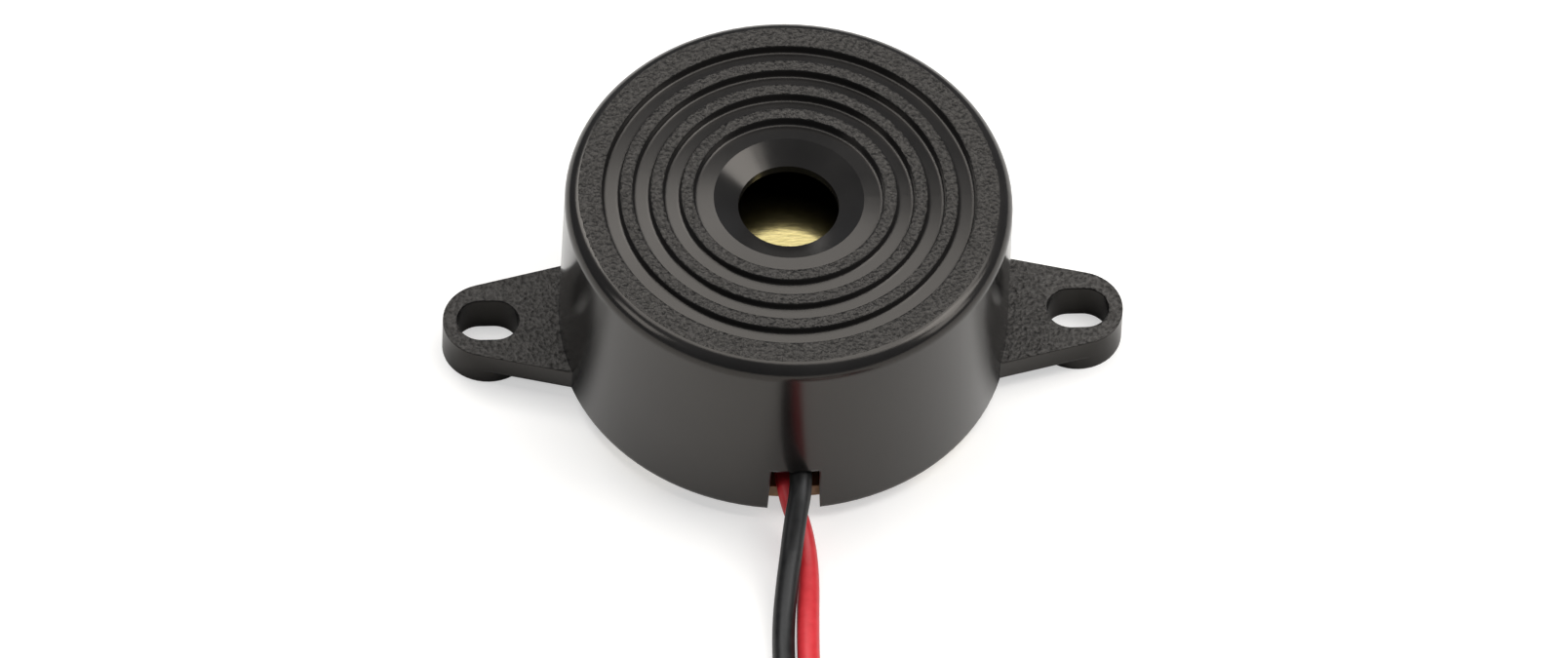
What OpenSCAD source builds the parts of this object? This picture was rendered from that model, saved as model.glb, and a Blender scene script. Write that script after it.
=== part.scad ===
// Round piezo buzzer with two mounting ears and a pair of flying leads.
// Millimetres. +Z is up, the ears lie along X, the leads leave towards -Y.
// The origin is on the body's axis, level with the feet under the two ears.

/* [Diaphragm] */
// Diameter of the brass plate
plate_d = 20; // [19:0.1:22]
// Thickness of the brass plate
plate_t = 0.2; // [0.1:0.05:0.4]
// Diameter of the ceramic disc bonded under the plate
piezo_d = 14; // [12:0.1:15]
// Thickness of the ceramic disc
piezo_t = 0.2; // [0.1:0.05:0.4]
// Bare margin of ceramic around its silver film
film_margin = 0.5; // [0.2:0.1:1]
// Thickness of the silver film
film_t = 0.05; // [0.03:0.01:0.1]
// Width of the feedback tongue in the silver film
tongue_w = 2.4; // [1.8:0.1:3]
// Distance of the tongue's round inner end from the centre
tongue_reach = 3.4; // [2.5:0.1:4.5]
// Bare gap between the tongue and the rest of the film
tongue_gap = 0.4; // [0.2:0.05:0.6]
// Direction of the tongue, seen from above
tongue_angle = -30; // [-45:1:-20]
// Width of the sealant bead under the plate's edge
bond_w = 0.8; // [0.5:0.05:1]
// Height of the sealant bead
bond_h = 0.9; // [0.5:0.05:1.5]

/* [Housing] */
// Clearance around the brass plate in its bore
plate_gap = 0.1; // [0.05:0.01:0.2]
// Width of the shoulder that stops the circuit board
board_shoulder = 0.6; // [0.4:0.05:1]
// Wall thickness at the open rim
rim_wall = 0.72; // [0.6:0.02:1.2]
// Width of the ledge that the brass plate seats on
plate_ledge = 0.75; // [0.5:0.05:1]
// Height of the air space over the brass plate
cavity_h = 2.2; // [1.5:0.05:3]
// Thickness of the top wall
top_wall = 1.5; // [1.4:0.05:2.5]
// Draft of the outer wall in degrees
draft = 0.6; // [0.3:0.1:2]
// Radius of the top edge
top_fillet = 0.85; // [0.4:0.05:1]
// Height of the feet under the ears
foot_h = 0.9; // [0.8:0.05:1.5]

/* [Top rings] */
// Width of the flat land inside the top edge
outer_land_w = 1; // [0.6:0.05:1.5]
// Width of each groove at the top face
groove_w = 0.94; // [0.7:0.02:1.1]
// Width of each raised ring
land_w = 0.6; // [0.4:0.02:0.8]
// Depth of the grooves at their inner side
groove_depth = 0.38; // [0.2:0.02:0.5]
// Sideways run of each groove wall
groove_run = 0.1; // [0.05:0.01:0.2]
// Outward fall of each groove floor in degrees
floor_fall = 5; // [0:0.5:8]
// Least width of the smooth lip around the funnel
lip_min = 0.8; // [0.5:0.05:1.2]

/* [Sound hole] */
// Diameter of the sound hole
hole_d = 5.1; // [4:0.1:6]
// Diameter of the funnel at its wide end
funnel_d = 7.6; // [6.5:0.1:8.5]
// Depth of the funnel's narrow end below the top face
funnel_depth = 1.05; // [0.7:0.05:1.3]

/* [Mounting ears] */
// Distance from the body's wall at the rim to the centre of a slot
ear_reach = 3.58; // [3:0.02:5]
// Length of a slot from end to end
slot_l = 3.2; // [2.8:0.1:4]
// Width of a slot
slot_w = 2.5; // [2:0.1:2.8]
// Material left outside the slot's outer end
ear_edge = 0.7; // [0.5:0.05:1.2]
// Width of an ear where it leaves the wall
ear_root_w = 7.1; // [6:0.1:9]
// Thickness of the ear plate
ear_t = 1.25; // [1:0.05:2]

/* [Lead notch] */
// Width of the notch at the rim
notch_w = 2.65; // [2.4:0.05:3.5]
// Height of the notch
notch_h = 3; // [3:0.05:4]
// Amount by which each side of the notch leans in at its top
notch_lean = 0.12; // [0:0.02:0.2]

/* [Circuit board] */
// Thickness of the board
board_t = 0.8; // [0.6:0.05:1]
// Clearance around the board in its pocket
board_gap = 0.05; // [0.02:0.01:0.1]
// Thickness of the copper
copper_t = 0.05; // [0.03:0.01:0.1]
// Width of the copper tracks
track_w = 0.8; // [0.5:0.05:1]
// Diameter of the pads for legs and fine wires
pad_d = 1.5; // [1.2:0.05:1.8]
// Diameter of the pads for the leads
lead_pad_d = 2; // [1.6:0.05:2.4]
// Bare gap between the pads of the transistor
pad_space = 0.12; // [0.08:0.01:0.2]
// Clearance of a leg or wire in its hole, all round
hole_gap = 0.12; // [0.08:0.01:0.2]
// Height of the solder joints under the board
solder_h = 0.5; // [0.3:0.05:0.6]
// Margin of bare pad around a solder joint
solder_margin = 0.05; // [0.02:0.01:0.1]
// Width of the glue dabs that hold the board's edge
glue_w = 1.4; // [1:0.1:1.5]
// Thickness of the glue dabs
glue_h = 0.3; // [0.2:0.05:0.5]

/* [Driver parts] */
// Diameter of the transistor's round back
transistor_d = 4.6; // [4:0.1:5]
// Height of the transistor's body
transistor_h = 4.6; // [4:0.1:5]
// Distance from the transistor's legs to its flat front
transistor_flat = 1.3; // [1:0.1:1.6]
// Height of the transistor's body above the board
transistor_lift = 0.8; // [0.5:0.1:1.5]
// Spacing of the transistor's legs
leg_pitch = 1.27; // [1.2:0.01:1.5]
// Diameter of the legs
leg_d = 0.45; // [0.4:0.01:0.5]
// Free height between the transistor and the brass plate
headroom = 1.15; // [1:0.05:2]
// Diameter of a resistor's body at its ends
resistor_d = 1.8; // [1.6:0.1:2]
// Length of a resistor's body
resistor_l = 3.4; // [3:0.1:3.8]
// Distance between a resistor's two holes
resistor_span = 6.4; // [6:0.1:7]
// Gap between the two resistors that lie side by side
resistor_gap = 0.6; // [0.3:0.05:1]

/* [Wiring] */
// Outer diameter of the fine wires to the diaphragm
wire_d = 0.5; // [0.4:0.05:0.6]
// Diameter of the solder joints on the diaphragm
blob_d = 1.2; // [1:0.05:1.4]
// Height of the solder joints on the diaphragm
blob_h = 0.4; // [0.3:0.05:0.5]
// Outer diameter of a lead
lead_d = 1.15; // [1:0.05:1.15]
// Diameter of a lead's tinned core
core_d = 0.55; // [0.5:0.05:0.6]
// Bend radius of a core where it turns down into the board
core_bend = 0.5; // [0.4:0.05:0.6]
// Thickness of the tie around the coiled leads
tie_t = 0.3; // [0.2:0.05:0.3]
// Width of the tie, in degrees around the coil
tie_angle = 18; // [10:1:30]

/* [Hidden] */
$fn = 96;
eps = 0.01;
cut = 1;

// Radii of the stepped bore and of the outer wall.
bore_r = plate_d / 2 + plate_gap;
cavity_r = bore_r - plate_ledge;
pocket_r = bore_r + board_shoulder;
base_r = pocket_r + rim_wall;
wall_mid_r = pocket_r + rim_wall / 2;
board_r = pocket_r - board_gap;

// Heights, from the feet up.
rim_z = foot_h;
copper_z = rim_z - copper_t;
board_z = rim_z + board_t;
transistor_z = board_z + transistor_lift;
plate_z = transistor_z + transistor_h + headroom;
ledge_z = plate_z + plate_t;
ceiling_z = ledge_z + cavity_h;
top_z = ceiling_z + top_wall;
piezo_z = plate_z - piezo_t;
film_z = piezo_z - film_t;

// Rounded top edge: the centre of its arc and the arc's end on the sloped wall.
fillet_z = top_z - top_fillet;
fillet_r = base_r - (fillet_z - rim_z) * tan(draft) - top_fillet / cos(draft);
fillet_end = [fillet_r + top_fillet * cos(draft), fillet_z + top_fillet * sin(draft)];

// Grooves, from the outside in, as many as leave the lip its least width.
groove_r = fillet_r - outer_land_w;
ring_pitch = groove_w + land_w;
ring_count = max(1, floor((groove_r - funnel_d / 2 - lip_min) / ring_pitch));
lip_r = groove_r - ring_count * ring_pitch;
function floor_drop(width) = groove_depth + (width - 2 * groove_run) * tan(floor_fall);

// Ears.
slot_x = base_r + ear_reach;
ear_r = slot_l / 2 + ear_edge;
ear_root = [sqrt(pow(wall_mid_r, 2) - pow(ear_root_w / 2, 2)), ear_root_w / 2];
ear_line = ear_root - [slot_x, 0];
ear_touch = atan2(ear_line.y, ear_line.x) - acos(ear_r / norm(ear_line));
ear_tangent = [slot_x + ear_r * cos(ear_touch), ear_r * sin(ear_touch)];

// Places of the holes in the board, seen from above.
transistor_at = [0, 1.8];
base_pin = transistor_at - [leg_pitch, 0];
collector_pin = transistor_at;
emitter_pin = transistor_at + [leg_pitch, 0];
bias_at = [-4.2, 0];
load_at = bias_at - [resistor_d + resistor_gap, 0];
feedback_at = [6.2, 0];
half_span = [0, resistor_span / 2];
red_hole = [-1.5, -5];
black_hole = [1.5, -5];
plate_hole = [4.4, -5.4];
film_hole = [-2.6, -2.4];
tongue_hole = [3.7, -2.1];

// Hole diameters and pads: place, pad diameter and hole diameter of each joint.
leg_hole_d = leg_d + 2 * hole_gap;
wire_hole_d = wire_d + 2 * hole_gap;
core_hole_d = core_d + 2 * hole_gap;
pin_pad_d = leg_pitch - pad_space;
JOINTS = [
    for (p = [base_pin, collector_pin, emitter_pin]) [p, pin_pad_d, leg_hole_d],
    for (at = [bias_at, load_at, feedback_at], s = [-1, 1]) [at + s * half_span, pad_d, leg_hole_d],
    for (p = [plate_hole, film_hole, tongue_hole]) [p, pad_d, wire_hole_d],
    for (p = [red_hole, black_hole]) [p, lead_pad_d, core_hole_d]
];

// Copper nets, each a list of tracks from point to point.
track_y = transistor_at.y + 2.8;
drop_y = transistor_at.y - 2.6;
NETS = [
    [[red_hole, bias_at - half_span, load_at - half_span]],
    [[black_hole, emitter_pin], [black_hole, plate_hole]],
    [[base_pin, bias_at + half_span],
     [base_pin, [base_pin.x, track_y], [feedback_at.x - 1.6, track_y], feedback_at + half_span]],
    [[collector_pin, [collector_pin.x, drop_y], [film_hole.x, drop_y], film_hole],
     [[film_hole.x, drop_y], [load_at.x + 1, transistor_at.y - 0.6], load_at + half_span]],
    [[feedback_at - half_span, tongue_hole]]
];

// Joints on the diaphragm: on the bare brass, on the film and on its tongue.
function polar(r, a) = [r * cos(a), r * sin(a)];
bond_in_r = bore_r - bond_w;
film_r = piezo_d / 2 - film_margin;
plate_joint = polar((piezo_d / 2 + bond_in_r) / 2, -50);
film_joint = [-2.2, -1.8];
tongue_joint = polar((tongue_reach + film_r) / 2, tongue_angle);

// Routes of the two leads, from their inner ends to the coil.
RED_ROUTE = [
    [-1.5, -6, 2.3], [-1.5, -6.8, 2.3], [-1.2, -8, 2.3], [-0.7, -9.2, 2.3], [-0.4, -10.2, 2.3],
    [-0.32, -11, 2.27], [-0.13, -11.9, 1.93], [0.2, -12.8, 1.42], [0.42, -13.8, 0.95], [0.5, -14.8, 0.7],
    [0.5, -16, 0.6], [0.4, -18, 0.6], [0.3, -20.5, 0.6], [0.3, -23, 0.6], [0.3, -25.6, 0.9]
];
BLACK_ROUTE = [
    [1.5, -6, 2.3], [1.5, -6.7, 2.3], [1.2, -7.8, 2.75], [0.7, -8.8, 3.2], [0.32, -9.8, 3.3],
    [0.3, -11.2, 3.31], [0.2, -12.2, 3.1], [0, -13.1, 2.68], [-0.18, -14, 2.18], [-0.35, -15, 1.7],
    [-0.6, -16.5, 1.25], [-0.85, -18.5, 0.8], [-0.95, -20.5, 0.6], [-0.95, -23, 0.6], [-0.95, -25.2, 0.8],
    [-0.95, -27.2, 0.9]
];

// The coil of the leads' spare length, and the ends that leave it.
coil_at = [6.5, -31.5];
coil_in_r = 5.6;
coil_out_r = 8.05;
coil_h = 2.3;
tie_at = 225;
RED_TAIL = [[13.95, -27.2, 1.5], [13.95, -25.8, 1.1], [13.95, -24.4, 0.7]];
BLACK_TAIL = [[12.7, -25.6, 1.75], [12.7, -25, 1.55], [12.7, -24.4, 1.35]];
RED_TIP = [[13.95, -24.4, 0.7], [13.95, -23.35, 0.4], [13.95, -21.6, 0.35]];
BLACK_TIP = [[12.7, -24.4, 1.35], [12.7, -22.9, 0.85], [12.7, -21.6, 0.45]];

// Round tube swept along a list of points that never heads along X.
tube_sides = 8;
function unit(v) = v / norm(v);
function heading(path, i) = unit(path[min(i + 1, len(path) - 1)] - path[max(i - 1, 0)]);
function ring(at, along, d) =
    let (side = unit(cross(along, [1, 0, 0])), over = cross(side, along))
    [for (k = [0:tube_sides - 1]) at + d / 2 * (cos(360 * k / tube_sides) * side + sin(360 * k / tube_sides) * over)];

module tube(path, d) {
    n = tube_sides;
    last = (len(path) - 1) * n;
    points = [for (i = [0:len(path) - 1]) each ring(path[i], heading(path, i), d)];
    walls = [
        for (i = [0:len(path) - 2], k = [0:n - 1])
        let (a = i * n + k, b = i * n + (k + 1) % n)
        each [[a, b, a + n], [b, b + n, a + n]]
    ];
    ends = [[for (k = [n - 1:-1:0]) k], [for (k = [0:n - 1]) last + k]];
    polyhedron(points = points, faces = concat(walls, ends));
}

// Half-section of the housing, to be turned about the axis.
module housing_section() {
    difference() {
        union() {
            polygon([[0, rim_z], [base_r, rim_z], fillet_end, [fillet_r, fillet_z], [fillet_r, top_z], [0, top_z]]);
            translate([fillet_r, fillet_z]) circle(top_fillet);
        }
        for (i = [0:ring_count - 1]) groove(groove_r - i * ring_pitch, groove_w);
        groove(lip_r, lip_r - funnel_d / 2 + groove_run);
        polygon([
            [0, ceiling_z - eps], [hole_d / 2, ceiling_z - eps], [hole_d / 2, top_z - funnel_depth],
            [funnel_d / 2, top_z - groove_depth], [funnel_d / 2, top_z + cut], [0, top_z + cut]
        ]);
        polygon([
            [0, rim_z - cut], [pocket_r, rim_z - cut], [pocket_r, board_z], [bore_r, board_z], [bore_r, ledge_z],
            [cavity_r, ledge_z], [cavity_r, ceiling_z], [0, ceiling_z]
        ]);
    }
}

// One groove with leaning walls, its floor falling towards the outside.
module groove(outer_r, width) {
    polygon([
        [outer_r, top_z], [outer_r - groove_run, top_z - floor_drop(width)],
        [outer_r - width + groove_run, top_z - groove_depth], [outer_r - width, top_z],
        [outer_r - width, top_z + cut], [outer_r, top_z + cut]
    ]);
}

module slot_outline() {
    straight = slot_l - slot_w;
    for (s = [-1, 1]) translate([slot_x + s * straight / 2, 0]) circle(d = slot_w);
    translate([slot_x - straight / 2, -slot_w / 2]) square([straight, slot_w]);
}

module ear_outline() {
    difference() {
        union() {
            polygon([ear_root, ear_tangent, [ear_tangent.x, -ear_tangent.y], [ear_root.x, -ear_root.y]]);
            translate([slot_x, 0]) circle(ear_r);
        }
        circle(wall_mid_r);
        slot_outline();
    }
}

module ear() {
    translate([0, 0, rim_z]) linear_extrude(ear_t) ear_outline();
    linear_extrude(rim_z) difference() {
        translate([slot_x, 0]) circle(ear_r);
        slot_outline();
    }
}

module lead_notch() {
    translate([0, -cavity_r, 0]) rotate([90, 0, 0]) linear_extrude(base_r) polygon([
        [-notch_w / 2, rim_z - cut], [notch_w / 2, rim_z - cut], [notch_w / 2, rim_z],
        [notch_w / 2 - notch_lean, rim_z + notch_h], [notch_lean - notch_w / 2, rim_z + notch_h], [-notch_w / 2, rim_z]
    ]);
}

// Moulded case: ringed top with the sound funnel, stepped bore, two eared feet and the lead notch.
module housing() {
    color([0.16, 0.15, 0.15]) difference() {
        union() {
            rotate_extrude() housing_section();
            for (turn = [0, 180]) rotate(turn) ear();
        }
        lead_notch();
    }
}

module brass_plate() {
    color([0.86, 0.72, 0.36]) translate([0, 0, plate_z]) cylinder(d = plate_d, h = plate_t);
}

module piezo_disc() {
    color([0.85, 0.82, 0.72]) translate([0, 0, piezo_z]) cylinder(d = piezo_d, h = piezo_t);
}

// Stadium along the tongue's direction, grown by a margin.
module tongue_outline(margin) {
    rotate(tongue_angle) {
        translate([tongue_reach, 0]) circle(d = tongue_w + 2 * margin);
        translate([tongue_reach, -tongue_w / 2 - margin]) square([piezo_d, tongue_w + 2 * margin]);
    }
}

module silver_film() {
    color([0.8, 0.8, 0.8]) translate([0, 0, film_z]) linear_extrude(film_t) difference() {
        circle(film_r);
        tongue_outline(tongue_gap);
    }
}

module feedback_film() {
    color([0.75, 0.75, 0.76]) translate([0, 0, film_z]) linear_extrude(film_t) intersection() {
        circle(film_r);
        tongue_outline(0);
    }
}

// Sealant bead in the corner between the plate's underside and the bore.
module plate_sealant() {
    color([0.9, 0.9, 0.88]) rotate_extrude() polygon([
        [bond_in_r, plate_z], [bore_r, plate_z], [bore_r, plate_z - bond_h], [bore_r - bond_w / 2, plate_z - bond_h * 0.6]
    ]);
}

// Solder joint under a face at height z, cut flat where a wire ends in it.
module blob(at, z) {
    translate([at.x, at.y, z - blob_h]) cylinder(h = blob_h, d1 = blob_d * 0.6, d2 = blob_d);
}

module diaphragm_solder() {
    color([0.7, 0.71, 0.72]) {
        blob(plate_joint, plate_z);
        blob(film_joint, film_z);
        blob(tongue_joint, film_z);
    }
}

// Fine wire from its hole in the board to a joint on the diaphragm, with a little slack sideways.
wire_steps = 5;
function slack_wire(from, to, top, bow) = concat(
    [[from.x, from.y, copper_z]],
    [for (i = [0:wire_steps])
        let (t = i / wire_steps, s = t * t * (3 - 2 * t), b = bow * sin(180 * t) * sin(180 * t),
             low = board_z + 0.5, high = top - 0.5)
        [from.x + (to.x - from.x) * s + b.x, from.y + (to.y - from.y) * s + b.y, low + (high - low) * t]],
    [[to.x, to.y, top]]
);

module plate_wire() {
    color([0.15, 0.15, 0.15]) tube(slack_wire(plate_hole, plate_joint, plate_z - blob_h, [0.5, 0.3]), wire_d);
}

module film_wire() {
    color([0.8, 0.15, 0.15]) tube(slack_wire(film_hole, film_joint, film_z - blob_h, [-0.3, -0.6]), wire_d);
}

module tongue_wire() {
    color([0.2, 0.3, 0.7]) tube(slack_wire(tongue_hole, tongue_joint, film_z - blob_h, [-0.4, -0.5]), wire_d);
}

module joint_holes() {
    for (j = JOINTS) translate(j[0]) circle(d = j[2]);
}

module circuit_board() {
    color([0.55, 0.38, 0.2]) translate([0, 0, rim_z]) linear_extrude(board_t) difference() {
        circle(board_r);
        joint_holes();
    }
}

module track(a, b) {
    translate(a) rotate(atan2(b.y - a.y, b.x - a.x)) translate([0, -track_w / 2]) square([norm(b - a), track_w]);
    for (p = [a, b]) translate(p) circle(d = track_w);
}

function on_net(net, p) = len([for (line = net, v = line) if (v == p) 1]) > 0;

// Copper foil on the board's underside, one island for each net.
module copper_tracks() {
    color([0.72, 0.45, 0.25]) translate([0, 0, copper_z]) for (net = NETS) linear_extrude(copper_t) difference() {
        union() {
            for (line = net, i = [0:len(line) - 2]) track(line[i], line[i + 1]);
            for (j = JOINTS) if (on_net(net, j[0])) translate(j[0]) circle(d = j[1]);
        }
        joint_holes();
    }
}

// Domed solder joint under each pad.
module board_solder() {
    color([0.72, 0.73, 0.74]) for (j = JOINTS) {
        r = j[1] / 2 - solder_margin;
        ball_r = (r * r + solder_h * solder_h) / (2 * solder_h);
        translate([j[0].x, j[0].y, copper_z]) intersection() {
            translate([0, 0, ball_r - solder_h]) sphere(ball_r);
            translate([0, 0, -solder_h - eps]) cylinder(r = ball_r + eps, h = solder_h + eps);
        }
    }
}

module transistor() {
    color([0.12, 0.12, 0.12]) translate([transistor_at.x, transistor_at.y, transistor_z]) linear_extrude(transistor_h)
        intersection() {
            circle(d = transistor_d);
            translate([-transistor_d, -transistor_flat]) square([2 * transistor_d, 2 * transistor_d]);
        }
}

module transistor_legs() {
    color([0.75, 0.75, 0.75]) for (p = [base_pin, collector_pin, emitter_pin])
        translate([p.x, p.y, copper_z]) cylinder(d = leg_d, h = transistor_z - copper_z);
}

// Lacquered resistor body with thicker ends, lying along Y on the board.
module resistor(at) {
    r = resistor_d / 2;
    waist = 0.84 * r;
    end = resistor_l / 2;
    translate([at.x, at.y, board_z + r]) rotate([90, 0, 0]) rotate_extrude() polygon([
        [0, -end], [0.6 * r, -end], [r, 0.3 * r - end], [r, 0.9 * r - end], [waist, 1.2 * r - end],
        [waist, end - 1.2 * r], [r, end - 0.9 * r], [r, end - 0.3 * r], [0.6 * r, end], [0, end]
    ]);
}

module bias_resistor() {
    color([0.82, 0.72, 0.52]) resistor(bias_at);
}

module load_resistor() {
    color([0.82, 0.72, 0.52]) resistor(load_at);
}

module feedback_resistor() {
    color([0.82, 0.72, 0.52]) resistor(feedback_at);
}

// Wire that runs along +Y from a face at `from`, turns down and ends at height `low`.
module bent_wire(from, run, bend, d, low) {
    translate(from) rotate([-90, 0, 0]) cylinder(d = d, h = run - bend);
    translate(from + [0, run - bend, -bend]) rotate([90, 0, 90]) rotate_extrude(angle = 90)
        translate([bend, 0]) circle(d = d);
    translate([from.x, from.y + run, low]) cylinder(d = d, h = from.z - bend - low);
}

leg_bend = 0.6;
module resistor_legs() {
    color([0.75, 0.75, 0.75]) for (at = [bias_at, load_at, feedback_at], turn = [0, 180])
        translate(at) rotate(turn)
            bent_wire([0, resistor_l / 2, board_z + resistor_d / 2], (resistor_span - resistor_l) / 2, leg_bend, leg_d, copper_z);
}

// Glue dabs across the seam between the board's edge and the rim.
module board_glue() {
    ball_r = (glue_w * glue_w / 4 + glue_h * glue_h) / (2 * glue_h);
    color([0.85, 0.8, 0.6]) for (a = [45:90:315]) rotate(a - 12) rotate_extrude(angle = 24)
        translate([pocket_r, rim_z]) intersection() {
            translate([0, ball_r - glue_h]) circle(ball_r);
            translate([-glue_w, -glue_w]) square([2 * glue_w, glue_w]);
        }
}

// Stripped core of a lead, from the end of its insulation down into the board.
module core(route, hole) {
    color([0.78, 0.78, 0.78]) bent_wire(route[0], hole.y - route[0].y, core_bend, core_d, copper_z);
}

module red_core() { core(RED_ROUTE, red_hole); }

module black_core() { core(BLACK_ROUTE, black_hole); }

module red_lead() { color([0.8, 0.1, 0.12]) tube(RED_ROUTE, lead_d); }

module black_lead() { color([0.1, 0.1, 0.1]) tube(BLACK_ROUTE, lead_d); }

// Section of the coiled leads, two wide and two high.
module coil_section() {
    r = lead_d / 2;
    translate([coil_in_r, tie_t + r]) square([coil_out_r - coil_in_r, coil_h - 2 * r]);
    translate([coil_in_r + r, tie_t]) square([coil_out_r - coil_in_r - 2 * r, coil_h]);
    for (x = [coil_in_r + r, coil_out_r - r], z = [tie_t + r, tie_t + coil_h - r]) translate([x, z]) circle(r);
}

module lead_coil() {
    color([0.45, 0.1, 0.1]) translate(coil_at) rotate_extrude() coil_section();
}

module coil_tie() {
    color([0.9, 0.9, 0.9]) translate(coil_at) rotate(tie_at - tie_angle / 2) rotate_extrude(angle = tie_angle) difference() {
        translate([coil_in_r - tie_t, 0]) square([coil_out_r - coil_in_r + 2 * tie_t, coil_h + 2 * tie_t]);
        coil_section();
    }
}

module red_lead_tail() { color([0.8, 0.1, 0.12]) tube(RED_TAIL, lead_d); }

module black_lead_tail() { color([0.1, 0.1, 0.1]) tube(BLACK_TAIL, lead_d); }

module red_lead_tip() { color([0.78, 0.78, 0.78]) tube(RED_TIP, core_d); }

module black_lead_tip() { color([0.78, 0.78, 0.78]) tube(BLACK_TIP, core_d); }

housing();
brass_plate();
piezo_disc();
silver_film();
feedback_film();
plate_sealant();
diaphragm_solder();
plate_wire();
film_wire();
tongue_wire();
circuit_board();
copper_tracks();
board_solder();
transistor();
transistor_legs();
bias_resistor();
load_resistor();
feedback_resistor();
resistor_legs();
board_glue();
red_core();
black_core();
red_lead();
black_lead();
lead_coil();
coil_tie();
red_lead_tail();
black_lead_tail();
red_lead_tip();
black_lead_tip();
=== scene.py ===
"""Piezo buzzer with mounting ears and flying leads: its finishes, its cords, and the studio around it."""

import math

import bpy
from mathutils import Matrix, Vector


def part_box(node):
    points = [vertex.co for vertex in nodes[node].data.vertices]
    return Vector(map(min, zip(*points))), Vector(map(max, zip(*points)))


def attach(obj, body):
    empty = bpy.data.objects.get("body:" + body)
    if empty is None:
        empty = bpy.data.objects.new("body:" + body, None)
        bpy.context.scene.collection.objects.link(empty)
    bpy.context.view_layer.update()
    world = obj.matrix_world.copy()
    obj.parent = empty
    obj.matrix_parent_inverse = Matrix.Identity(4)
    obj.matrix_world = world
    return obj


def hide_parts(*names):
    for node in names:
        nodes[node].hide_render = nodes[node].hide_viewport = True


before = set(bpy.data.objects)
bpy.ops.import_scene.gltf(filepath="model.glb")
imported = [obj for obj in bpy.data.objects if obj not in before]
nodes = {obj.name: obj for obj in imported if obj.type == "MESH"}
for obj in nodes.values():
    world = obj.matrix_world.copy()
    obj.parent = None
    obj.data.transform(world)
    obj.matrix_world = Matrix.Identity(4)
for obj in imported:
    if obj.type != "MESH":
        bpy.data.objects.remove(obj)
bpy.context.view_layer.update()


# Brass diaphragm plate: a thin rolled disc, polished on its upper side, that shows through the sound hole.
# It lies in the case's bore against a ledge, and a bead of sealant under its edge holds it there.
MM = 0.001
MOTTLE_LOW = 0.3
MOTTLE_HIGH = 0.7
SOFT_DETAIL = 2.0
FINE_DETAIL = 3.0
EVEN = (1.0, 1.0, 1.0)


def new_material(name):
    """A material, its node tree and its shader."""
    material = bpy.data.materials.new(name)
    material.use_nodes = True
    return material, material.node_tree, material.node_tree.nodes["Principled BSDF"]


def noise_on_object(tree, grain, detail=SOFT_DETAIL, stretch=EVEN):
    """Noise in object space whose lumps are about `grain` metres across."""
    place = tree.nodes.new("ShaderNodeTexCoord")
    mapping = tree.nodes.new("ShaderNodeMapping")
    mapping.inputs["Scale"].default_value = stretch
    noise = tree.nodes.new("ShaderNodeTexNoise")
    noise.inputs["Scale"].default_value = 1.0 / grain
    noise.inputs["Detail"].default_value = detail
    tree.links.new(place.outputs["Object"], mapping.inputs["Vector"])
    tree.links.new(mapping.outputs["Vector"], noise.inputs["Vector"])
    return noise.outputs["Fac"]


def ramp_colour(tree, factor, dark, light):
    """A colour between dark and light, over the range in which noise mostly lies."""
    ramp = tree.nodes.new("ShaderNodeValToRGB")
    ramp.color_ramp.elements[0].position = MOTTLE_LOW
    ramp.color_ramp.elements[1].position = MOTTLE_HIGH
    ramp.color_ramp.elements[0].color = (*dark, 1.0)
    ramp.color_ramp.elements[1].color = (*light, 1.0)
    tree.links.new(factor, ramp.inputs["Fac"])
    return ramp.outputs["Color"]


def ramp_value(tree, factor, between):
    """A number between the two given, as the factor goes from 0 to 1."""
    scale = tree.nodes.new("ShaderNodeMapRange")
    scale.inputs["To Min"].default_value = between[0]
    scale.inputs["To Max"].default_value = between[1]
    tree.links.new(factor, scale.inputs["Value"])
    return scale.outputs["Result"]


def bump_from(tree, shader, height, depth, base=None):
    """Fine relief on the surface, over the normal `base` where one is given."""
    bump = tree.nodes.new("ShaderNodeBump")
    bump.inputs["Distance"].default_value = depth
    tree.links.new(height, bump.inputs["Height"])
    if base is not None:
        tree.links.new(base, bump.inputs["Normal"])
    tree.links.new(bump.outputs["Normal"], shader.inputs["Normal"])


def metal(name, dark, light, rough, grain, depth, stretch=EVEN):
    """Bare metal with faint colour changes and a fine surface grain."""
    material, tree, shader = new_material(name)
    shader.inputs["Metallic"].default_value = 1.0
    fine = noise_on_object(tree, grain, FINE_DETAIL, stretch)
    tree.links.new(ramp_colour(tree, fine, dark, light), shader.inputs["Base Color"])
    tree.links.new(ramp_value(tree, fine, rough), shader.inputs["Roughness"])
    bump_from(tree, shader, fine, depth)
    return material


def dress(node, material):
    """Gives a CAD piece its finish."""
    nodes[node].material_slots[0].material = material


rolled_brass = metal(
    "rolled_brass", dark=(0.31, 0.26, 0.11), light=(0.39, 0.33, 0.155),
    rough=(0.13, 0.2), grain=0.5 * MM, depth=0.002 * MM, stretch=(1.0, 4.0, 1.0),
)
dress("brass_plate", rolled_brass)


# Ceramic disc and its silver film: fired ceramic bonded under the brass, with a printed main electrode and a
# feedback tongue. Solder joints on the brass, the electrode and the tongue take the fine wires, and white
# sealant runs round the plate.
LACQUER_ROUGH = 0.08


def coated(name, dark, light, rough, grain, depth, coat=0.0, shine=0.5):
    """Plastic, lacquer or ceramic: an even colour with a fine mottle, a little relief, and any clear coat."""
    material, tree, shader = new_material(name)
    shader.inputs["Coat Weight"].default_value = coat
    shader.inputs["Coat Roughness"].default_value = LACQUER_ROUGH
    shader.inputs["Specular IOR Level"].default_value = shine
    mottle = noise_on_object(tree, grain)
    tree.links.new(ramp_colour(tree, mottle, dark, light), shader.inputs["Base Color"])
    tree.links.new(ramp_value(tree, mottle, rough), shader.inputs["Roughness"])
    bump_from(tree, shader, mottle, depth)
    return material


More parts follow.
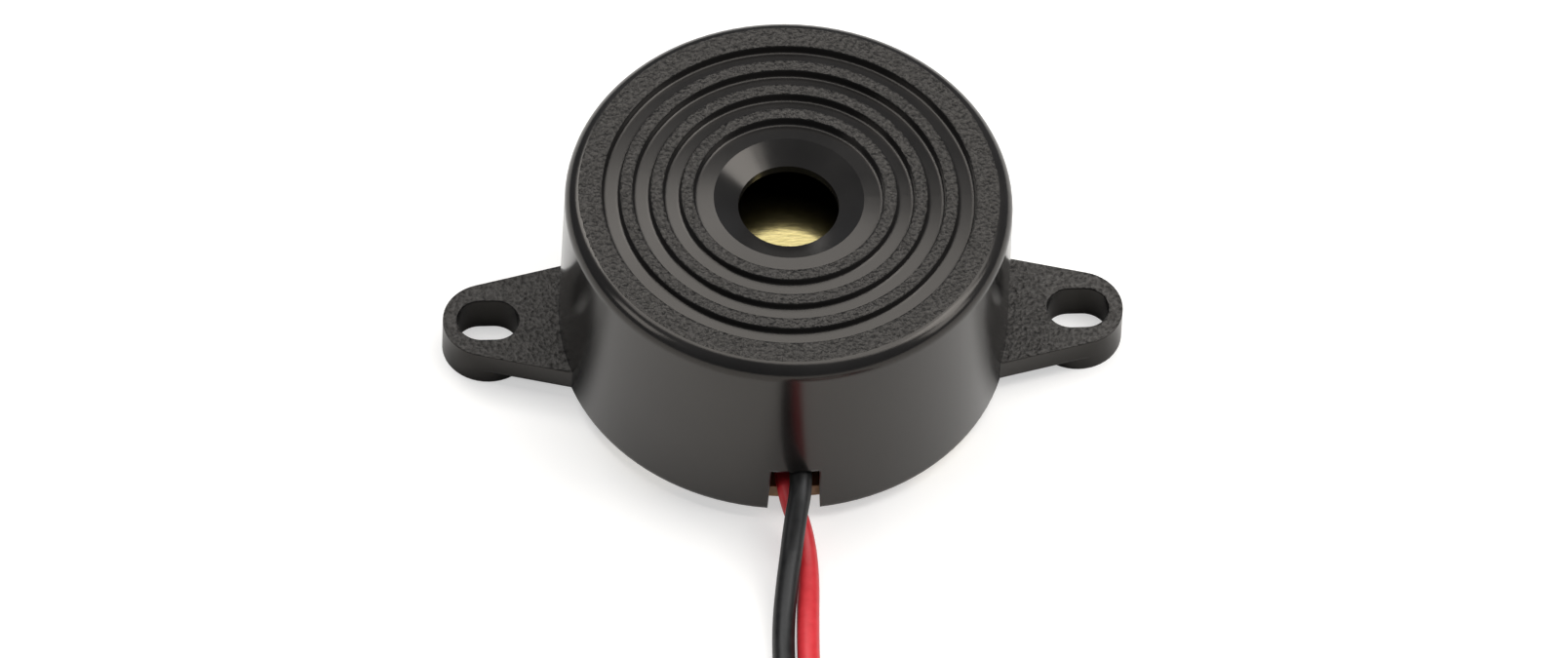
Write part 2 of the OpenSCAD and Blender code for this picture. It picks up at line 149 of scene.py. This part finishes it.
fired_ceramic = coated(
    "fired_ceramic", dark=(0.7, 0.66, 0.55), light=(0.8, 0.77, 0.66),
    rough=(0.6, 0.8), grain=0.2 * MM, depth=0.005 * MM,
)
printed_silver = metal(
    "printed_silver", dark=(0.72, 0.71, 0.68), light=(0.84, 0.83, 0.8),
    rough=(0.35, 0.5), grain=0.1 * MM, depth=0.004 * MM,
)
white_sealant = coated(
    "white_sealant", dark=(0.78, 0.78, 0.74), light=(0.86, 0.86, 0.83),
    rough=(0.3, 0.45), grain=0.8 * MM, depth=0.03 * MM,
)
bright_solder = metal(
    "bright_solder", dark=(0.6, 0.61, 0.62), light=(0.76, 0.77, 0.78),
    rough=(0.16, 0.34), grain=0.25 * MM, depth=0.006 * MM,
)
dress("piezo_disc", fired_ceramic)
dress("silver_film", printed_silver)
dress("feedback_film", printed_silver)
dress("plate_sealant", white_sealant)
dress("diaphragm_solder", bright_solder)


# Case: one black plastic moulding with a ringed top, a sound funnel, two eared feet and a notch for leads.
# The mould is polished, but spark-eroded on the raised rings and the ears' tops, so that those come out matt
# with a fine grain. The ears' tops carry a lighter grey than the rings, partly their grain and partly a
# painted highlight. Edges come out a little soft, apart from the funnel's.
CASE_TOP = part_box("housing")[1].z
EAR_TOP = 2.15 * MM
LEVEL_GAP = 0.02 * MM
FACING_UP = 0.9
FUNNEL_REACH = 4.2 * MM
EDGE_ROUND = 0.2 * MM
EDGE_SAMPLES = 8
CASE_SHINE = 0.37
CASE_GLEAM = (1.0, 0.93, 0.85, 1.0)
CLOUD = 4 * MM
POLISHED_DARK = (0.012, 0.0112, 0.0106)
POLISHED_LIGHT = (0.018, 0.0168, 0.016)
POLISHED_ROUGH = (0.14, 0.22)
GRAIN = 0.2 * MM
GRAIN_DEPTH = 0.16 * MM
RING_DARK = (0.004, 0.0037, 0.0035)
RING_LIGHT = (0.04, 0.0373, 0.0347)
RING_ROUGH = (0.34, 0.5)
# Ears' tops: grain, and a lighter top end that is a painted highlight.
EAR_DARK = (0.005, 0.0047, 0.0045)
EAR_GRAIN_AND_PAINTED_HIGHLIGHT = (0.07, 0.066, 0.062)
EAR_ROUGH = (0.42, 0.62)


def calc(tree, operation, first, second=0.0):
    """A Math node, in a shader or a geometry tree; each side is a socket or a plain number."""
    node = tree.nodes.new("ShaderNodeMath")
    node.operation = operation
    for socket, value in zip(node.inputs, (first, second)):
        if isinstance(value, bpy.types.NodeSocket):
            tree.links.new(value, socket)
        else:
            socket.default_value = value
    return node.outputs["Value"]


def split(tree, vector):
    """The X, Y and Z sockets of a vector."""
    parts = tree.nodes.new("ShaderNodeSeparateXYZ")
    tree.links.new(vector, parts.inputs["Vector"])
    return parts.outputs


def blend(tree, factor, under, over):
    """The first look where the factor is 0, and the second where it is 1."""
    mix = tree.nodes.new("ShaderNodeMixRGB")
    tree.links.new(factor, mix.inputs["Fac"])
    tree.links.new(under, mix.inputs["Color1"])
    tree.links.new(over, mix.inputs["Color2"])
    return mix.outputs["Color"]


def moulded_plastic():
    """Black plastic, polished or grained by its place on the case, with a painted highlight in the ears'
    grey, and softened edges.
    """
    material, tree, shader = new_material("moulded_plastic")
    shader.inputs["Specular IOR Level"].default_value = CASE_SHINE
    shader.inputs["Specular Tint"].default_value = CASE_GLEAM

    spot = split(tree, tree.nodes.new("ShaderNodeTexCoord").outputs["Object"])
    facing = split(tree, tree.nodes.new("ShaderNodeNewGeometry").outputs["True Normal"])["Z"]
    on_rings = calc(tree, "GREATER_THAN", spot["Z"], CASE_TOP - LEVEL_GAP)
    under_ear_top = calc(tree, "LESS_THAN", spot["Z"], EAR_TOP + LEVEL_GAP)
    over_ear_top = calc(tree, "GREATER_THAN", spot["Z"], EAR_TOP - LEVEL_GAP)
    at_ear_top = calc(tree, "MULTIPLY", under_ear_top, over_ear_top)
    on_ears = calc(tree, "MULTIPLY", at_ear_top, calc(tree, "GREATER_THAN", facing, FACING_UP))
    eroded = calc(tree, "MAXIMUM", on_rings, on_ears)

    x_squared = calc(tree, "MULTIPLY", spot["X"], spot["X"])
    y_squared = calc(tree, "MULTIPLY", spot["Y"], spot["Y"])
    from_axis = calc(tree, "SQRT", calc(tree, "ADD", x_squared, y_squared))
    past_funnel = calc(tree, "GREATER_THAN", from_axis, FUNNEL_REACH)
    soft_edge = tree.nodes.new("ShaderNodeBevel")
    soft_edge.samples = EDGE_SAMPLES
    tree.links.new(calc(tree, "MULTIPLY", past_funnel, EDGE_ROUND), soft_edge.inputs["Radius"])

    clouds = noise_on_object(tree, CLOUD, FINE_DETAIL)
    grain = noise_on_object(tree, GRAIN)
    rough = ramp_value(tree, clouds, POLISHED_ROUGH)
    rough = blend(tree, on_rings, rough, ramp_value(tree, grain, RING_ROUGH))
    rough = blend(tree, on_ears, rough, ramp_value(tree, grain, EAR_ROUGH))
    tree.links.new(rough, shader.inputs["Roughness"])
    black = ramp_colour(tree, clouds, POLISHED_DARK, POLISHED_LIGHT)
    black = blend(tree, on_rings, black, ramp_colour(tree, grain, RING_DARK, RING_LIGHT))
    # Painted highlight: the ears' tops get a lighter grey than the grained rings.
    black = blend(tree, on_ears, black, ramp_colour(tree, grain, EAR_DARK, EAR_GRAIN_AND_PAINTED_HIGHLIGHT))
    tree.links.new(black, shader.inputs["Base Color"])
    relief = calc(tree, "MULTIPLY", grain, eroded)
    bump_from(tree, shader, relief, GRAIN_DEPTH, base=soft_edge.outputs["Normal"])
    return material


dress("housing", moulded_plastic())


# Circuit board: a disc of brown paper laminate pushed into the open rim, with copper foil on its underside
# and the driver parts on top, inside the case. Solder fixes every leg, and dabs of glue hold the edge.
paper_laminate = coated(
    "paper_laminate", dark=(0.3, 0.17, 0.065), light=(0.42, 0.26, 0.11),
    rough=(0.45, 0.6), grain=0.5 * MM, depth=0.01 * MM,
)
copper_foil = metal(
    "copper_foil", dark=(0.66, 0.36, 0.2), light=(0.78, 0.47, 0.29),
    rough=(0.25, 0.4), grain=0.4 * MM, depth=0.003 * MM,
)
amber_glue = coated(
    "amber_glue", dark=(0.7, 0.58, 0.32), light=(0.78, 0.68, 0.42),
    rough=(0.2, 0.3), grain=0.6 * MM, depth=0.03 * MM, coat=0.5,
)
black_epoxy = coated(
    "black_epoxy", dark=(0.018, 0.018, 0.018), light=(0.03, 0.03, 0.03),
    rough=(0.45, 0.6), grain=0.1 * MM, depth=0.006 * MM,
)
beige_lacquer = coated(
    "beige_lacquer", dark=(0.66, 0.53, 0.33), light=(0.74, 0.62, 0.41),
    rough=(0.25, 0.35), grain=0.4 * MM, depth=0.01 * MM, coat=0.6,
)
tinned_wire = metal(
    "tinned_wire", dark=(0.66, 0.66, 0.65), light=(0.8, 0.8, 0.79),
    rough=(0.2, 0.35), grain=0.15 * MM, depth=0.003 * MM,
)
dress("circuit_board", paper_laminate)
dress("copper_tracks", copper_foil)
dress("board_solder", bright_solder)
dress("board_glue", amber_glue)
dress("transistor", black_epoxy)
for body in ("bias_resistor", "load_resistor", "feedback_resistor"):
    dress(body, beige_lacquer)
for legs in ("transistor_legs", "resistor_legs", "red_core", "black_core"):
    dress(legs, tinned_wire)


# Leads: two stranded wires in soft extruded insulation, one red and one black. Their stripped inner ends are
# soldered to the board; they leave through the notch, drop to the floor and run off to a tied coil. The fine
# wires from the diaphragm to the board have the same insulation, one of them in blue.
LEAD_D = 1.15 * MM
LEAD_RING_STEPS = 5
LEAD_CURVE_STEPS = 6
RED_ROUTE = [
    (-1.5, -6, 2.3), (-1.5, -6.8, 2.3), (-1.2, -8, 2.3), (-0.7, -9.2, 2.3), (-0.4, -10.2, 2.3),
    (-0.32, -11, 2.27), (-0.13, -11.9, 1.93), (0.2, -12.8, 1.42), (0.42, -13.8, 0.95), (0.5, -14.8, 0.7),
    (0.5, -16, 0.6), (0.4, -18, 0.6), (0.3, -20.5, 0.6), (0.3, -23, 0.6), (0.3, -25.6, 0.9),
]
BLACK_ROUTE = [
    (1.5, -6, 2.3), (1.5, -6.7, 2.3), (1.2, -7.8, 2.75), (0.7, -8.8, 3.2), (0.32, -9.8, 3.3),
    (0.3, -11.2, 3.31), (0.2, -12.2, 3.1), (0, -13.1, 2.68), (-0.18, -14, 2.18), (-0.35, -15, 1.7),
    (-0.6, -16.5, 1.25), (-0.85, -18.5, 0.8), (-0.95, -20.5, 0.6), (-0.95, -23, 0.6), (-0.95, -25.2, 0.8),
    (-0.95, -27.2, 0.9),
]
RED_TAIL = [(13.95, -29.4, 1.97), (13.95, -27.2, 1.5), (13.95, -25.8, 1.1), (13.95, -24.4, 0.7)]
BLACK_TAIL = [
    (12.7, -29.4, 2.03), (12.7, -27.4, 2.03), (12.7, -25.6, 1.75), (12.7, -25, 1.55), (12.7, -24.4, 1.35),
]
COIL_AT = (6.5, -31.5)
COIL_START = 180.0
COIL_IN = 6.2
COIL_OUT = 7.45
LAYER_LOW = 0.875
LAYER_HIGH = 2.025
COIL_TURNS = 1.5
TURN_POINTS = 24
PVC_ROUGH = (0.34, 0.48)
PVC_GRAIN = 0.5 * MM
PVC_DEPTH = 0.01 * MM


def ease(value, start, end):
    """0 before start, 1 after end, and a smooth change between."""
    share = min(max((value - start) / (end - start), 0.0), 1.0)
    return share * share * (3.0 - 2.0 * share)


def coil_points(first_r, last_r, climb, shift):
    """Points round the coil in millimetres, which climb a layer and change radius over the given angles."""
    points = []
    for step in range(round(COIL_TURNS * TURN_POINTS) + 1):
        gone = 360.0 * step / TURN_POINTS
        angle = math.radians(COIL_START + gone)
        radius = first_r + (last_r - first_r) * ease(gone, *shift)
        across = COIL_AT[0] + radius * math.cos(angle)
        along = COIL_AT[1] + radius * math.sin(angle)
        level = LAYER_LOW + (LAYER_HIGH - LAYER_LOW) * ease(gone, *climb)
        points.append((across, along, level))
    return points


def lead(name, points, material):
    """One smooth round cord through the points, which are in millimetres."""
    curve = bpy.data.curves.new(name, "CURVE")
    curve.dimensions = "3D"
    curve.bevel_depth = LEAD_D / 2
    curve.bevel_resolution = LEAD_RING_STEPS
    curve.resolution_u = LEAD_CURVE_STEPS
    curve.use_fill_caps = True
    spline = curve.splines.new("BEZIER")
    spline.bezier_points.add(len(points) - 1)
    for knot, point in zip(spline.bezier_points, points):
        knot.co = Vector(point) * MM
        knot.handle_left_type = "AUTO"
        knot.handle_right_type = "AUTO"
    spline.use_smooth = True
    piece = bpy.data.objects.new(name, curve)
    bpy.context.scene.collection.objects.link(piece)
    curve.materials.append(material)
    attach(piece, "root")
    return piece


red_insulation = coated(
    "red_insulation", dark=(0.56, 0.026, 0.032), light=(0.64, 0.036, 0.044),
    rough=PVC_ROUGH, grain=PVC_GRAIN, depth=PVC_DEPTH, shine=0.3,
)
black_insulation = coated(
    "black_insulation", dark=(0.008, 0.0078, 0.0076), light=(0.014, 0.0136, 0.0132),
    rough=PVC_ROUGH, grain=PVC_GRAIN, depth=PVC_DEPTH, shine=0.28,
)
blue_insulation = coated(
    "blue_insulation", dark=(0.03, 0.08, 0.4), light=(0.05, 0.11, 0.48),
    rough=PVC_ROUGH, grain=PVC_GRAIN, depth=PVC_DEPTH, shine=0.3,
)
white_nylon = coated(
    "white_nylon", dark=(0.74, 0.74, 0.71), light=(0.82, 0.82, 0.8),
    rough=(0.35, 0.5), grain=0.6 * MM, depth=0.01 * MM,
)
dress("film_wire", red_insulation)
dress("plate_wire", black_insulation)
dress("tongue_wire", blue_insulation)
dress("coil_tie", white_nylon)

red_coil = coil_points(COIL_IN, COIL_OUT, climb=(170, 220), shift=(220, 265))
black_coil = coil_points(COIL_OUT, COIL_IN, climb=(265, 315), shift=(225, 270))
red_lead = lead("red_flying_lead", RED_ROUTE + red_coil + RED_TAIL, red_insulation)
black_lead = lead("black_flying_lead", BLACK_ROUTE + black_coil + BLACK_TAIL, black_insulation)
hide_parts("red_lead", "red_lead_tail", "lead_coil")
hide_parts("black_lead", "black_lead_tail")


# Bare ends of the leads: seven tinned copper strands, six of them twisted round the middle one.
# They start inside the insulation's cut end and run down to the floor.
STRAND_D = 0.183 * MM
STRAND_SIDES = 10
STRAND_ROWS = 40
OUTER_STRANDS = 6
STRAND_LAY = 3.5 * MM
TWIST = 2 * math.pi / STRAND_LAY
RED_TIP = [
    (13.95, -24.8, 0.81), (13.95, -24.4, 0.7), (13.95, -23.9, 0.55), (13.95, -23.35, 0.42),
    (13.95, -21.6, 0.35),
]
BLACK_TIP = [(12.7, -24.8, 1.48), (12.7, -24.4, 1.35), (12.7, -22.9, 0.85), (12.7, -21.6, 0.45)]


def strand_group():
    """Node group that lays a ring of twisted strands round a centre line, and one strand along it."""
    group = bpy.data.node_groups.new("twisted_strands", "GeometryNodeTree")
    sockets = {}
    for name, kind in (
        ("Centre Line", "NodeSocketGeometry"),
        ("Strand Diameter", "NodeSocketFloat"),
        ("Outer Strands", "NodeSocketInt"),
        ("Twist", "NodeSocketFloat"),
        ("Finish", "NodeSocketMaterial"),
    ):
        sockets[name] = group.interface.new_socket(name, in_out="INPUT", socket_type=kind).identifier
    group.interface.new_socket("Strands", in_out="OUTPUT", socket_type="NodeSocketGeometry")

    def add(kind, **inputs):
        node = group.nodes.new(kind)
        for name, value in inputs.items():
            socket = node.inputs[name.replace("_", " ")]
            if isinstance(value, bpy.types.NodeSocket):
                group.links.new(value, socket)
            else:
                socket.default_value = value
        return node

    def vector_node(operation, first, second):
        node = group.nodes.new("ShaderNodeVectorMath")
        node.operation = operation
        group.links.new(first, node.inputs[0])
        group.links.new(second, node.inputs["Scale"] if operation == "SCALE" else node.inputs[1])
        return node.outputs["Vector"]

    given = add("NodeGroupInput").outputs
    curve = add("GeometryNodeMeshToCurve", Mesh=given["Centre Line"]).outputs["Curve"]
    middle = add("GeometryNodeResampleCurve", Curve=curve, Count=STRAND_ROWS).outputs["Curve"]
    copies = add("GeometryNodeDuplicateElements")
    copies.domain = "SPLINE"
    group.links.new(middle, copies.inputs["Geometry"])
    group.links.new(given["Outer Strands"], copies.inputs["Amount"])
    step = calc(group, "DIVIDE", 2 * math.pi, given["Outer Strands"])
    start = calc(group, "MULTIPLY", copies.outputs["Duplicate Index"], step)
    along = add("GeometryNodeSplineParameter").outputs["Length"]
    angle = calc(group, "ADD", start, calc(group, "MULTIPLY", along, given["Twist"]))
    normal = add("GeometryNodeInputNormal").outputs["Normal"]
    tangent = add("GeometryNodeInputTangent").outputs["Tangent"]
    across = vector_node("CROSS_PRODUCT", tangent, normal)
    out = vector_node("SCALE", normal, calc(group, "COSINE", angle))
    over = vector_node("SCALE", across, calc(group, "SINE", angle))
    offset = vector_node("SCALE", vector_node("ADD", out, over), given["Strand Diameter"])
    ring = add("GeometryNodeSetPosition", Geometry=copies.outputs["Geometry"], Offset=offset)
    joined = add("GeometryNodeJoinGeometry")
    group.links.new(middle, joined.inputs["Geometry"])
    group.links.new(ring.outputs["Geometry"], joined.inputs["Geometry"])
    radius = calc(group, "MULTIPLY", given["Strand Diameter"], 0.5)
    section = add("GeometryNodeCurvePrimitiveCircle", Radius=radius, Resolution=STRAND_SIDES)
    tubes = add("GeometryNodeCurveToMesh", Curve=joined.outputs["Geometry"], Fill_Caps=True)
    group.links.new(section.outputs["Curve"], tubes.inputs["Profile Curve"])
    plain = add("GeometryNodeRealizeInstances", Geometry=tubes.outputs["Mesh"])
    dressed = add("GeometryNodeSetMaterial", Geometry=plain.outputs["Geometry"], Material=given["Finish"])
    add("NodeGroupOutput", Strands=dressed.outputs["Geometry"])
    return group, sockets


strands, strand_sockets = strand_group()


def bare_end(name, points):
    """The strands along a line through the points, which are in millimetres, as a plain mesh."""
    line = bpy.data.meshes.new(name)
    line.from_pydata([Vector(p) * MM for p in points], [(i, i + 1) for i in range(len(points) - 1)], [])
    piece = bpy.data.objects.new(name, line)
    bpy.context.scene.collection.objects.link(piece)
    modifier = piece.modifiers.new("strands", "NODES")
    modifier.node_group = strands
    modifier[strand_sockets["Strand Diameter"]] = STRAND_D
    modifier[strand_sockets["Outer Strands"]] = OUTER_STRANDS
    modifier[strand_sockets["Twist"]] = TWIST
    modifier[strand_sockets["Finish"]] = tinned_wire
    mesh = bpy.data.meshes.new_from_object(piece.evaluated_get(bpy.context.evaluated_depsgraph_get()))
    piece.modifiers.remove(modifier)
    piece.data = mesh
    mesh.shade_smooth()
    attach(piece, "root")
    return piece


red_end = bare_end("red_strands", RED_TIP)
black_end = bare_end("black_strands", BLACK_TIP)
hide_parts("red_lead_tip")
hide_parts("black_lead_tip")


# Floor: a plain white table under the feet. It takes the object's shadow, and shows white in the frame and in
# reflections, apart from a painted shade: under the ears its glow is cut off by position, so that reflections
# which meet it there come out dark.
FLOOR_SIZE = 3.0
FLOOR_COLOUR = (0.62, 0.6, 0.57, 1.0)
FLOOR_ROUGH = 0.9
FLOOR_WHITE = (1.0, 1.0, 1.0, 1.0)
FLOOR_GLOW = 0.5
PAINTED_SHADE_REACH = 17.5 * MM
PAINTED_SHADE_HALF_WIDTH = 3 * MM
PAINTED_SHADE_EDGE = 2 * MM


def past(tree, distance, edge):
    """0 within the edge on both sides of the middle, 1 outside, and a smooth change between."""
    scale = tree.nodes.new("ShaderNodeMapRange")
    scale.interpolation_type = "SMOOTHSTEP"
    scale.inputs["From Min"].default_value = edge
    scale.inputs["From Max"].default_value = edge + PAINTED_SHADE_EDGE
    tree.links.new(calc(tree, "ABSOLUTE", distance), scale.inputs["Value"])
    return scale.outputs["Result"]


white_table, tree, shader = new_material("white_table")
shader.inputs["Base Color"].default_value = FLOOR_COLOUR
shader.inputs["Roughness"].default_value = FLOOR_ROUGH
shader.inputs["Specular IOR Level"].default_value = 0.0
shader.inputs["Emission Color"].default_value = FLOOR_WHITE
spot = split(tree, tree.nodes.new("ShaderNodeTexCoord").outputs["Object"])
# Painted shade: a mask by position under the ears, where the glow seen in reflections is cut off.
past_ends = past(tree, spot["X"], PAINTED_SHADE_REACH)
past_sides = past(tree, spot["Y"], PAINTED_SHADE_HALF_WIDTH)
outside_painted_shade = calc(tree, "MAXIMUM", past_ends, past_sides)
rays = tree.nodes.new("ShaderNodeLightPath").outputs
direct = calc(tree, "MAXIMUM", rays["Is Camera Ray"], rays["Is Transmission Ray"])
seen = calc(tree, "MAXIMUM", direct, calc(tree, "MULTIPLY", rays["Is Glossy Ray"], outside_painted_shade))
tree.links.new(calc(tree, "MULTIPLY", seen, FLOOR_GLOW), shader.inputs["Emission Strength"])

half = FLOOR_SIZE / 2
corners = [(-half, -half, 0), (half, -half, 0), (half, half, 0), (-half, half, 0)]
floor_mesh = bpy.data.meshes.new("floor")
floor_mesh.from_pydata(corners, [], [(0, 1, 2, 3)])
floor_mesh.materials.append(white_table)
floor = bpy.data.objects.new("floor", floor_mesh)
bpy.context.scene.collection.objects.link(floor)


# Studio light: a wide panel overhead that reaches to the far side, soft boxes high on the right and high
# behind on the left, two lower ones towards the front, and a dim room.
ROOM_COLOUR = (0.75, 0.85, 1.0, 1.0)
ROOM_STRENGTH = 0.15
OVERHEAD_AT = (0.081, 0.2175)


def panel(name, place, size, watts, aim=(0.0, 0.0, 0.0), turn=0.0):
    """A soft box that faces `aim`, rolled about that line by `turn` degrees."""
    light = bpy.data.lights.new(name, "AREA")
    light.shape = "RECTANGLE"
    light.size = size[0]
    light.size_y = size[1]
    light.energy = watts
    lamp = bpy.data.objects.new(name, light)
    facing = (Vector(aim) - Vector(place)).to_track_quat("-Z", "Y").to_matrix()
    turned = Matrix.Rotation(math.radians(turn), 3, "Z")
    lamp.matrix_world = Matrix.Translation(place) @ (facing @ turned).to_4x4()
    bpy.context.scene.collection.objects.link(lamp)


panel(
    "overhead_panel", place=(*OVERHEAD_AT, 0.7), size=(0.8, 0.6), watts=5.2,
    aim=(*OVERHEAD_AT, 0.0), turn=-20.4,
)
panel("left_back_box", place=(-0.3, 0.5, 0.65), size=(0.3, 0.3), watts=1.6)
panel("right_box", place=(0.55, 0.01, 0.65), size=(0.36, 0.36), watts=2.4)
panel("left_front_box", place=(-0.664, -0.167, 0.5), size=(0.3, 0.3), watts=1.0)
panel("right_front_box", place=(0.71, -0.2, 0.4), size=(0.3, 0.3), watts=1.0)

room = bpy.data.worlds.new("room")
room.use_nodes = True
room.node_tree.nodes["Background"].inputs["Color"].default_value = ROOM_COLOUR
room.node_tree.nodes["Background"].inputs["Strength"].default_value = ROOM_STRENGTH
bpy.context.scene.world = room
bpy.context.scene.view_settings.view_transform = "Standard"


# Camera: a long lens about a metre away, looking down at the leads' side of the buzzer.
AIM = Vector((-0.2631, -3.8194, 5.9)) * MM
AZIMUTH = math.radians(-5.176)
ELEVATION = math.radians(52.652)
ROLL = math.radians(2.893)
DISTANCE = 1.0
LENS = 454.47
SENSOR_WIDTH = 36.0

back = Vector((
    math.sin(AZIMUTH) * math.cos(ELEVATION),
    -math.cos(AZIMUTH) * math.cos(ELEVATION),
    math.sin(ELEVATION),
))
upright = back.to_track_quat("Z", "Y").to_matrix()
rolled = upright @ Matrix.Rotation(ROLL, 3, "Z")
camera_data = bpy.data.cameras.new("camera")
camera_data.lens = LENS
camera_data.sensor_width = SENSOR_WIDTH
camera_data.sensor_fit = "HORIZONTAL"
camera = bpy.data.objects.new("camera", camera_data)
camera.matrix_world = Matrix.Translation(AIM + back * DISTANCE) @ rolled.to_4x4()
bpy.context.scene.collection.objects.link(camera)
bpy.context.scene.camera = camera
